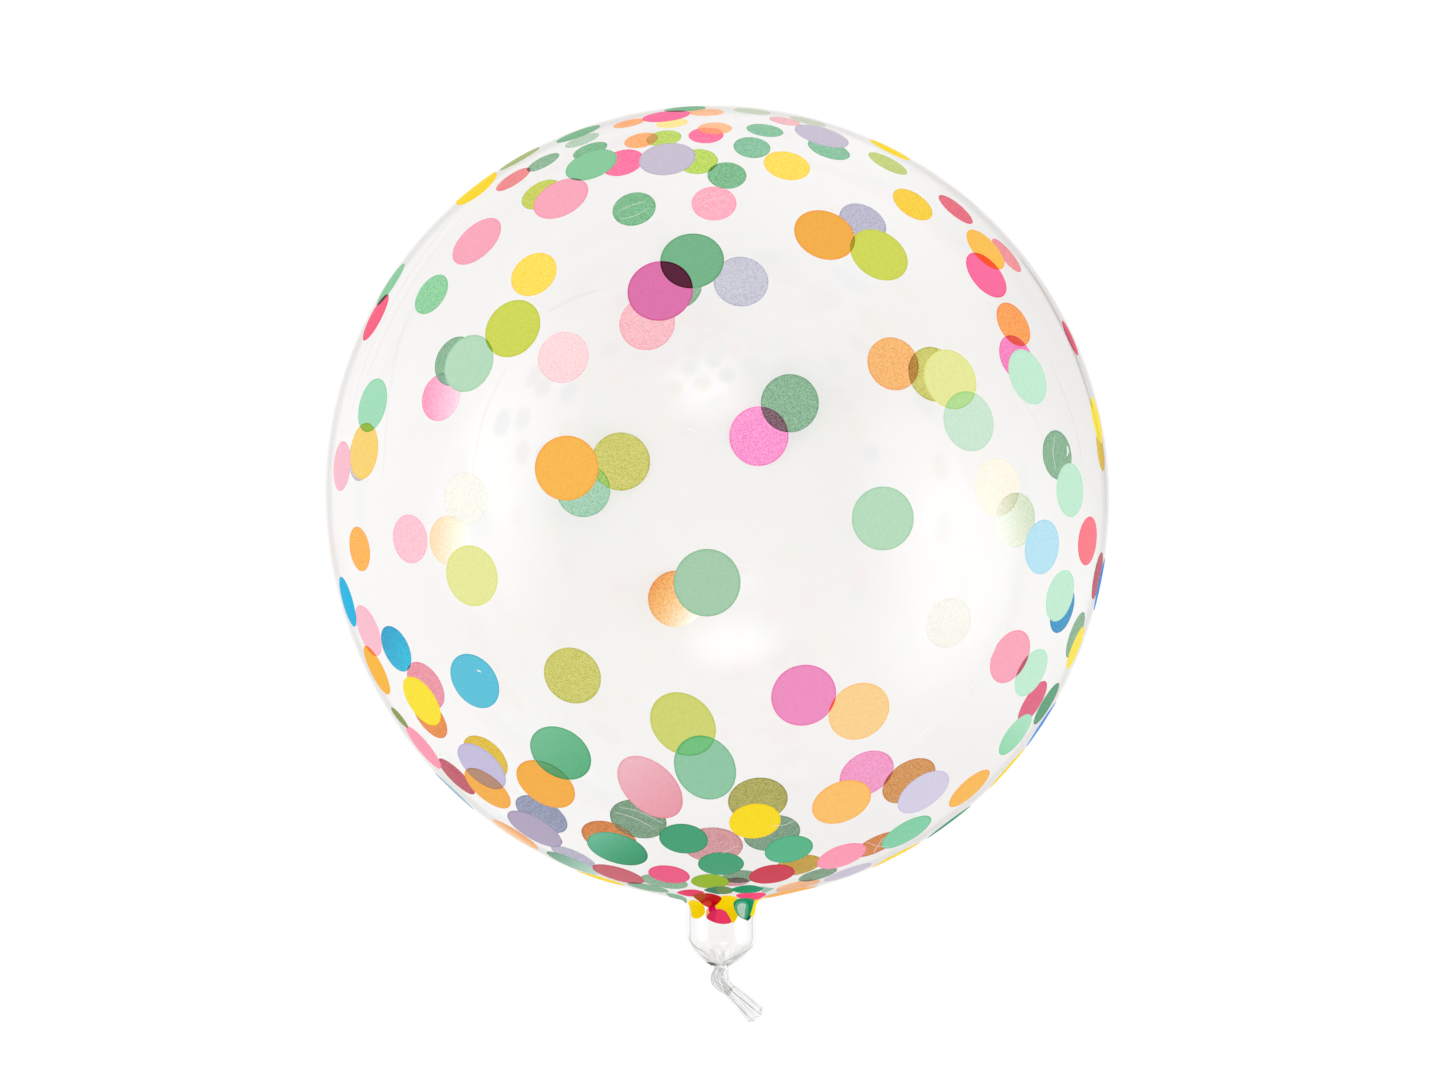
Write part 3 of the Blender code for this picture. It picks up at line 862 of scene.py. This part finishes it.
def cut_chart(shapes, dots):
    """Cuts the chart into triangles along the edges of the shapes, of which the dots come first.

    Gives its points, its triangles, the dot whose edge each point is on or -1, and which shapes cover
    each triangle."""
    inside_edges = [between(edge.mean(axis=0), edge, EDGE_INK_START) for edge, _ink in dots]
    points = [Vector(point) for point in np.concatenate((lattice(), *inside_edges))]
    first_on_edge = len(points)
    rings = []
    for edge, _ink in shapes:
        rings.append(list(range(len(points), len(points) + len(edge))))
        points.extend(Vector(point) for point in edge)
    chart, _, triangles, origins, _, covering = delaunay_2d_cdt(points, [], rings, 0, CHART_PRECISION, True)
    edge_of = np.full(len(chart), -1)
    for point, made_of in enumerate(origins):
        for origin in made_of:
            if 0 <= origin - first_on_edge < len(dots) * DOT_POINTS:
                edge_of[point] = (origin - first_on_edge) // DOT_POINTS
    # The chart is seen from the crown, so its triangles are turned to face outwards
    return np.array([tuple(point) for point in chart]), np.array(triangles)[:, ::-1], edge_of, covering


def ink_colour(inks):
    """The colour that these inks make, printed one over another."""
    pair = tuple(sorted(inks))
    if pair in OVERPRINTS:
        return linear(OVERPRINTS[pair])
    colour = np.prod([linear(INKS[ink]) for ink in inks], axis=0)
    return colour**OVERLAP_STRENGTH if len(inks) > 1 else colour


def uneven_ink_and_glare(printed, corners, covering):
    """How strong the ink is at each face's corners, where 1 is as usual. On three dots the weak side is a
    painted softbox reflection.
    """
    strength = np.ones((len(corners), 3, 1))
    places = [dot[:2] for dot in ALL_DOTS]
    for x, y, way_deg, weak, strong in UNEVEN_AND_GLARED_DOTS:
        dot = places.index((x, y))
        way = SIDEWAYS * math.cos(math.radians(way_deg)) + ALONG_NECK * math.sin(math.radians(way_deg))
        along_edge = printed[dot][0] @ way
        covered = [face for face, covers in enumerate(covering) if dot in covers]
        share = rise(corners[covered] @ way, along_edge.min(), along_edge.max())
        strength[covered] *= between(weak, strong, share)[..., None]
    return strength


class Skin:
    """The one mesh that everything is gathered into."""

    def __init__(self):
        self.parts = []
        self.count = 0

    def add(self, points, normals, faces, material, tints):
        """Tints are a colour or a tone for each corner of each face."""
        materials = np.broadcast_to(material, len(faces))
        tints = np.broadcast_to(tints, (len(faces), 3, 3))
        self.parts.append((points, normals, faces + self.count, materials, tints))
        self.count += len(points)

    def joined(self):
        return [np.concatenate(lists) for lists in zip(*self.parts)]


def add_film(skin):
    """The orb, neck and gather as one triangulated skin, cut along the edge of each dot of ink."""
    printed = printed_dots()
    dots = on_chart(printed)
    tinted = dots + on_chart(strokes(FILM_LINES_AND_RIM_SHADE))
    shapes = tinted + on_chart(neck_print() + strokes(STROKES))
    chart, faces, edge_of, covering = cut_chart(shapes, dots)
    length = OUTLINE.length_at(np.hypot(chart[:, 0], chart[:, 1]))
    angle = np.arctan2(chart[:, 1], chart[:, 0])
    on_neck = OUTLINE.reach_at(length[faces].mean(axis=1)) > SHOULDER_REACH
    materials = np.where(on_neck, NECK_FILM, FILM)
    inks = np.ones((len(faces), 3))
    thick_ink = np.zeros((len(faces), 3, 1), bool)
    for face, covers in enumerate(covering):
        if covers and max(covers) >= len(tinted):
            materials[face] = PRINT
            inks[face] = ink_colour({shapes[max(covers)][1]})
            continue
        mixed = {shapes[cover][1] for cover in covers if cover < len(dots)}
        if mixed:
            materials[face] = PRINT
            inks[face] = ink_colour(mixed)
            thick_ink[face, :, 0] = np.isin(edge_of[faces[face]], covers)
        # The lines' tones darken the film; two of them are painted shade along the right-hand outline.
        for cover in covers:
            if cover >= len(dots):
                inks[face] *= shapes[cover][1]
    points = film_points(length, angle)
    strength = np.where(thick_ink, EDGE_INK_STRENGTH, 1) * uneven_ink_and_glare(printed, points[faces], covering)
    skin.add(points, film_normals(length, angle), faces, materials, inks[:, None] ** strength)


def grid_faces(rows, columns):
    """Triangles of a grid of points whose rows are rings."""
    faces = []
    for row in range(rows - 1):
        for column in range(columns):
            after = (column + 1) % columns
            a, b = row * columns + column, row * columns + after
            c, d = a + columns, b + columns
            faces.append((a, b, d))
            faces.append((a, d, c))
    return np.array(faces)


def add_tube(skin, rings, material, tones):
    """A tube of film: rings of points, with a tone for each point."""
    rings = np.array(rings)
    faces = grid_faces(*rings.shape[:2])
    around = np.roll(rings, -1, axis=1) - np.roll(rings, 1, axis=1)
    normals = unit(np.cross(around, np.gradient(rings, axis=0)))
    tints = np.ravel(tones)[faces][..., None]
    skin.add(rings.reshape(-1, 3), normals.reshape(-1, 3), faces, material, tints)


def crumple_shade(length, angle):
    """Painted shade: grey lines in the creases of the crumpled gather, closing in on the waist, and a pinch
    at the waist darkest on one side of it.
    """
    share = gather_share(length)
    lines = 0
    for count, lean, turn, weight in CRUMPLE_LINES:
        wave = np.cos(count * (angle + lean * share) + math.radians(turn))
        lines = lines + weight * rise(wave, *CRUMPLE_CREST)
    crumpled = np.clip(lines, 0, 1) * smooth_step(rise(share, *CRUMPLE_ONSET))
    pinch = smooth_step(rise(share, *PINCH_ONSET)) * (1 - np.cos(angle)) / 2
    return (1 - CRUMPLE_SHADE * crumpled) * (1 - PINCH_SHADE * pinch)


def add_neck_wall(skin):
    """The inner face of the neck's thick, unstretched film, from the shoulder to the waist."""
    start_reach = OUTLINE.gather_start - NECK_LENGTH - NECK_WALL_LAP
    start = np.interp(start_reach, OUTLINE.reach, OUTLINE.length)
    length = np.linspace(start, OUTLINE.end - NECK_WALL_LAP, NECK_WALL_RINGS)[:, None]
    angle = even_turns(GATHER_POINTS)[None, :]
    wall = film_points(length, angle, inset=NECK_WALL_GAP)
    add_tube(skin, wall, NECK_LINING, crumple_shade(length, angle))


def beyond_waist(sideways, forward):
    reach = OUTLINE.reach[-1]
    waist = np.array((AXIS_LEAN * reach, -reach, AXIS_HEIGHT))
    return waist + SIDEWAYS * sideways + ALONG_NECK * forward


def uneven_waves(waves, turn, seed):
    """Waves round a bundle of film, from about -1 to 1 at each turn."""
    return sum(share * np.cos(count * (turn + seed * SEED_TURN)) for count, share in waves)


def fold_shade_tone(turn, seed, shade):
    """Painted shade: folded film is drawn grey deep in its folds."""
    return 1 - shade * np.clip(-uneven_waves(BUNDLE_FOLD_SHADE, turn, seed), 0, 1)


def bundle_ring(centre, across, half_width, half_thickness, turn, depth):
    """A ring round a bundle of film, its folds as deep as the depth at each turn."""
    wide = across * ((half_width + depth) * np.cos(turn))[:, None]
    return centre + wide + UP * ((half_thickness + depth) * np.sin(turn))[:, None]


def add_strand(skin, strand, seed, underside=False):
    """A bundled strand of film along a smooth path. The underside one is its mirror image below."""
    path = smooth_path(np.array(strand) / MM_PER_METRE, STRAND_RINGS, False)
    along = unit(np.gradient(path[:, :2], axis=0))
    turn = even_turns(BUNDLE_POINTS)
    rings, tones = [], []
    for (sideways, forward, height, half_width, half_thickness), way in zip(path, along):
        centre = beyond_waist(sideways, forward) + UP * (-height if underside else height)
        across = SIDEWAYS * way[1] - ALONG_NECK * way[0]
        twisted = turn + len(rings) * STRAND_TWIST
        depth = STRAND_FOLD_DEPTH * uneven_waves(BUNDLE_FOLDS, twisted, seed)
        rings.append(bundle_ring(centre, across, half_width, half_thickness, turn, depth))
        tones.append(fold_shade_tone(twisted, seed, STRAND_SHADE))
    add_tube(skin, rings, WAD, tones)


def add_tail(skin):
    """The pleated fan of film beyond the knot, with a ragged cut end."""
    angle = math.radians(TAIL_ANGLE_DEG)
    along = ALONG_NECK * math.cos(angle) + SIDEWAYS * math.sin(angle)
    across = np.cross(UP, along)
    root = beyond_waist(*np.array(THROUGH_STRAND[-1][:2]) / MM_PER_METRE) - along * TAIL_LAP
    turn = even_turns(BUNDLE_POINTS)
    ragged = sum(np.sin(count * turn + phase) for count, phase in TAIL_RAGGED_WAVES)
    end_shape = (TAIL_END_BULGE * np.sin(turn) ** 2 + TAIL_RAGGEDNESS * ragged)[:, None]
    rings, tones = [], []
    for share in np.linspace(0, 1, TAIL_RINGS):
        centre = root + along * (TAIL_LENGTH * share + end_shape * share**TAIL_END_POWER)
        half_width = between(TAIL_ROOT_WIDTH, TAIL_TIP_WIDTH, share) / 2
        half_thickness = between(TAIL_ROOT_THICKNESS, TAIL_TIP_THICKNESS, share) / 2
        fold = uneven_waves(BUNDLE_FOLDS, turn + TAIL_TWIST * share, TAIL_SEED)
        depth = fold * between(STRAND_FOLD_DEPTH, TAIL_FOLD_DEPTH, share)
        rings.append(bundle_ring(centre, across, half_width, half_thickness, turn, depth))
        shade = TAIL_SHADE * np.interp(share, (STREAKS_FADE_FROM, 1), (1, STREAKS_LEFT))
        tones.append(fold_shade_tone(turn + STREAK_TWIST * share, TAIL_SEED, shade))
    end = rings[-1]
    heart = end.mean(axis=0)
    for inward, back in TAIL_END_RINGS:
        rings.append(heart + (end - heart) * inward - along * back)
        tones.append(np.ones_like(turn))
    add_tube(skin, rings, WAD, tones)


def add_knot_and_tail(skin):
    add_strand(skin, THROUGH_STRAND, 1)
    add_strand(skin, TURN_STRAND, 2)
    add_strand(skin, TURN_STRAND, 3, underside=True)
    add_tail(skin)


def set_inputs(tree, node, inputs):
    """Each input is a plain value, or another node's output to link."""
    for socket, value in inputs.items():
        if isinstance(value, bpy.types.NodeSocket):
            tree.links.new(value, node.inputs[socket])
        else:
            node.inputs[socket].default_value = value


def add_node(tree, kind, output, inputs, **settings):
    """Adds a node and gives the named output of it."""
    node = tree.nodes.new("ShaderNode" + kind)
    for name, value in settings.items():
        setattr(node, name, value)
    set_inputs(tree, node, inputs)
    return node.outputs[output]


def tone_ramp(tree, stops, source, tint=(1, 1, 1)):
    """A colour ramp whose stops are (place, tone), each tone times the tint."""
    ramp = tree.nodes.new("ShaderNodeValToRGB")
    elements = ramp.color_ramp.elements
    while len(elements) < len(stops):
        elements.new(0.5)
    for element, (place, tone) in zip(elements, stops):
        element.position = place
        element.color = (*(tone * part for part in tint), 1)
    set_inputs(tree, ramp, {"Fac": source})
    return ramp.outputs["Color"]


def object_noise(tree, scale, detail, stretch=(1, 1, 1)):
    place = add_node(tree, "TexCoord", "Object", {})
    stretched = add_node(tree, "Mapping", "Vector", {"Vector": place, "Scale": stretch})
    return add_node(tree, "TexNoise", "Fac", {"Vector": stretched, "Scale": scale, "Detail": detail})


def map_range(tree, source, limits, interpolation="LINEAR"):
    inputs = dict(zip(("From Min", "From Max", "To Min", "To Max"), limits), Value=source)
    return add_node(tree, "MapRange", "Result", inputs, interpolation_type=interpolation)


def mix_colour(tree, blend, first, second, share=1.0):
    """Two colours mixed. The colour sockets of a Mix node are numbers 6 and 7, and its output number 2."""
    return add_node(tree, "Mix", 2, {0: share, 6: first, 7: second}, data_type="RGBA", blend_type=blend)


def mesh_tint(tree):
    return add_node(tree, "Attribute", "Color", {}, attribute_name="tint")


def edge_on(tree):
    """0 where a surface is seen square on, and 1 where it is seen edge on."""
    return add_node(tree, "LayerWeight", "Facing", {"Blend": 0.5})


# Painted shade: the film's colour darkened towards the given sides.
def paint_side_shade(tree, colour, sides):
    for way, start, end, tone in sides:
        place = add_node(tree, "TexCoord", "Object", {})
        out = add_node(tree, "VectorMath", "Value", {0: place, 1: way}, operation="DOT_PRODUCT")
        side_shade = map_range(tree, out, (start, end, 1.0, tone), "SMOOTHSTEP")
        colour = mix_colour(tree, "MULTIPLY", colour, side_shade)
    return colour


def new_material(name, make_colour, finish):
    """A material whose colour comes from its nodes, and the rest from plain values on the shader."""
    material = bpy.data.materials.new(name)
    material.use_nodes = True
    tree = material.node_tree
    set_inputs(tree, tree.nodes["Principled BSDF"], {"Base Color": make_colour(tree), **finish})
    return material


def film_colour(edge_stops, sides=()):
    """Clear stretch film: light passes straight through, a little greyer where it is seen edge on. Its edge
    tones can hold painted reflections near the outline, and it gets painted shade towards the sides given.
    """

    def make(tree):
        # Painted reflections near the outline are part of these edge tones.
        edge_grey = tone_ramp(tree, edge_stops, edge_on(tree), FILM_TINT)
        haze = tone_ramp(tree, FILM_HAZE, object_noise(tree, *FILM_HAZE_NOISE))
        hazy_and_shaded = paint_side_shade(tree, mix_colour(tree, "MULTIPLY", edge_grey, haze), sides)
        return mix_colour(tree, "MULTIPLY", hazy_and_shaded, mesh_tint(tree))

    return make


def print_colour(tree):
    """Mottled ink on the film's outside, in the mesh's colours. Its inner side shows a screen's grain."""
    cloud = tone_ramp(tree, INK_CLOUD, object_noise(tree, *INK_CLOUD_NOISE))
    outer = mix_colour(tree, "MULTIPLY", mesh_tint(tree), cloud)
    strengths = (*INK_GRAIN, INNER_SPECK_STRENGTH, INNER_INK_STRENGTH)
    strength = map_range(tree, object_noise(tree, *INK_GRAIN_NOISE), strengths)
    inner = add_node(tree, "Gamma", "Color", {"Color": outer, "Gamma": strength})
    return mix_colour(tree, "MIX", outer, inner, add_node(tree, "NewGeometry", "Backfacing", {}))


def wad_colour(tree):
    """Bunched, unstretched film: clear, with painted shade where it is folded deep."""
    streaks = tone_ramp(tree, WAD_STREAKS, object_noise(tree, *WAD_STREAK_NOISE))
    streaked = mix_colour(tree, "MULTIPLY", mesh_tint(tree), streaks)
    return mix_colour(tree, "SCREEN", streaked, tone_ramp(tree, WAD_EDGE, edge_on(tree)))


def floor_colour(tree):
    return tone_ramp(tree, FLOOR_TONE, object_noise(tree, *FLOOR_NOISE))


def add_object(name, data):
    added = bpy.data.objects.new(name, data)
    bpy.context.scene.collection.objects.link(added)
    return added


def make_balloon():
    skin = Skin()
    add_film(skin)
    add_neck_wall(skin)
    add_knot_and_tail(skin)
    points, normals, faces, materials, face_tints = skin.joined()
    mesh = bpy.data.meshes.new("orb_film")
    mesh.from_pydata(points.tolist(), [], faces.tolist())
    mesh.polygons.foreach_set("material_index", materials.astype(np.int32))
    tints = np.ones((len(faces) * 3, 4), np.float32)
    tints[:, :3] = face_tints.reshape(-1, 3)
    mesh.attributes.new("tint", "FLOAT_COLOR", "CORNER").data.foreach_set("color", tints.ravel())
    mesh.shade_smooth()
    mesh.normals_split_custom_set_from_vertices(normals.tolist())
    for material in (
        new_material("clear_film", film_colour(STRETCHED_EDGE, PAINTED_SIDE_SHADE), FILM_FINISH),
        new_material("printed_film", print_colour, PRINT_FINISH),
        new_material("neck_film", film_colour(NECK_EDGE), FILM_FINISH),
        new_material("neck_lining", film_colour(LINING_EDGE), FILM_FINISH),
        new_material("bunched_film", wad_colour, WAD_FINISH),
    ):
        mesh.materials.append(material)
    balloon = add_object("orb_film", mesh)
    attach(balloon, "root")
    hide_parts("balloon_film")


def make_floor():
    """A white backdrop, lit from within so that it stays white everywhere."""
    corners = np.array(((-1, -1, 0), (1, -1, 0), (1, 1, 0), (-1, 1, 0))) * FLOOR_REACH - UP * FLOOR_GAP
    mesh = bpy.data.meshes.new("floor")
    mesh.from_pydata(corners.tolist(), [], [(0, 1, 2, 3)])
    mesh.materials.append(new_material("pale_floor", floor_colour, FLOOR_FINISH))
    floor = add_object("floor", mesh)


def make_camera():
    data = bpy.data.cameras.new("camera")
    data.sensor_width = SENSOR_WIDTH_MM
    data.lens = FOCAL_LENGTH_PX / PHOTO_WIDTH * SENSOR_WIDTH_MM
    camera = add_object("camera", data)
    camera.location = camera_place()
    bpy.context.scene.camera = camera


def fade_edges(light):
    """Makes an area light brightest in its middle, like a lamp behind a large diffuser."""
    light.use_nodes = True
    tree = light.node_tree
    place = add_node(tree, "NewGeometry", "Parametric", {})
    centred = add_node(tree, "VectorMath", "Vector", {0: place, 1: (0.5, 0.5, 0)}, operation="SUBTRACT")
    distance = add_node(tree, "VectorMath", "Value", {0: centred}, operation="LENGTH")
    fade = map_range(tree, distance, (*SOFTBOX_FADE, 0, 1), "SMOOTHERSTEP")
    set_inputs(tree, tree.nodes["Emission"], {"Strength": fade})


def soft_light(name, azimuth_deg, above_deg, distance, width, height, brightness):
    """A softbox that faces the orb, hidden from the camera. Azimuth 0 is +X and 90 is +Y. Brightness is
    that of its middle, where 1 is what shows as white."""
    azimuth, above = math.radians(azimuth_deg), math.radians(above_deg)
    level = math.cos(above)
    towards = Vector((math.cos(azimuth) * level, math.sin(azimuth) * level, math.sin(above)))
    data = bpy.data.lights.new(name, "AREA")
    data.shape = "RECTANGLE"
    data.size = width
    data.size_y = height
    data.energy = brightness * math.pi * width * height
    fade_edges(data)
    light = add_object(name, data)
    light.location = Vector((0, 0, AXIS_HEIGHT)) + towards * distance
    light.rotation_euler = towards.to_track_quat("Z", "Y").to_euler()
    light.visible_camera = False
    light.visible_diffuse = False


def heart_light():
    """A point of light in the middle of the orb that only its dots' inner sides catch."""
    data = bpy.data.lights.new("heart_light", "POINT")
    data.shadow_soft_size = 0
    data.energy = HEART_BRIGHTNESS * 4 * math.pi**2 * ORB_RADIUS**2
    light = add_object("heart_light", data)
    light.location = (0, 0, AXIS_HEIGHT)
    light.visible_camera = False
    light.visible_glossy = False
    light.visible_transmission = False


def make_light():
    world = bpy.data.worlds.new("studio")
    world.use_nodes = True
    sky = {"Color": SKY_COLOUR, "Strength": SKY_BRIGHTNESS}
    set_inputs(world.node_tree, world.node_tree.nodes["Background"], sky)
    bpy.context.scene.world = world
    for name, softbox in SOFTBOXES.items():
        soft_light(name, *softbox)
    heart_light()
    bpy.context.scene.view_settings.view_transform = "Standard"


def main():
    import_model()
    make_camera()
    make_light()
    make_floor()
    make_balloon()


main()
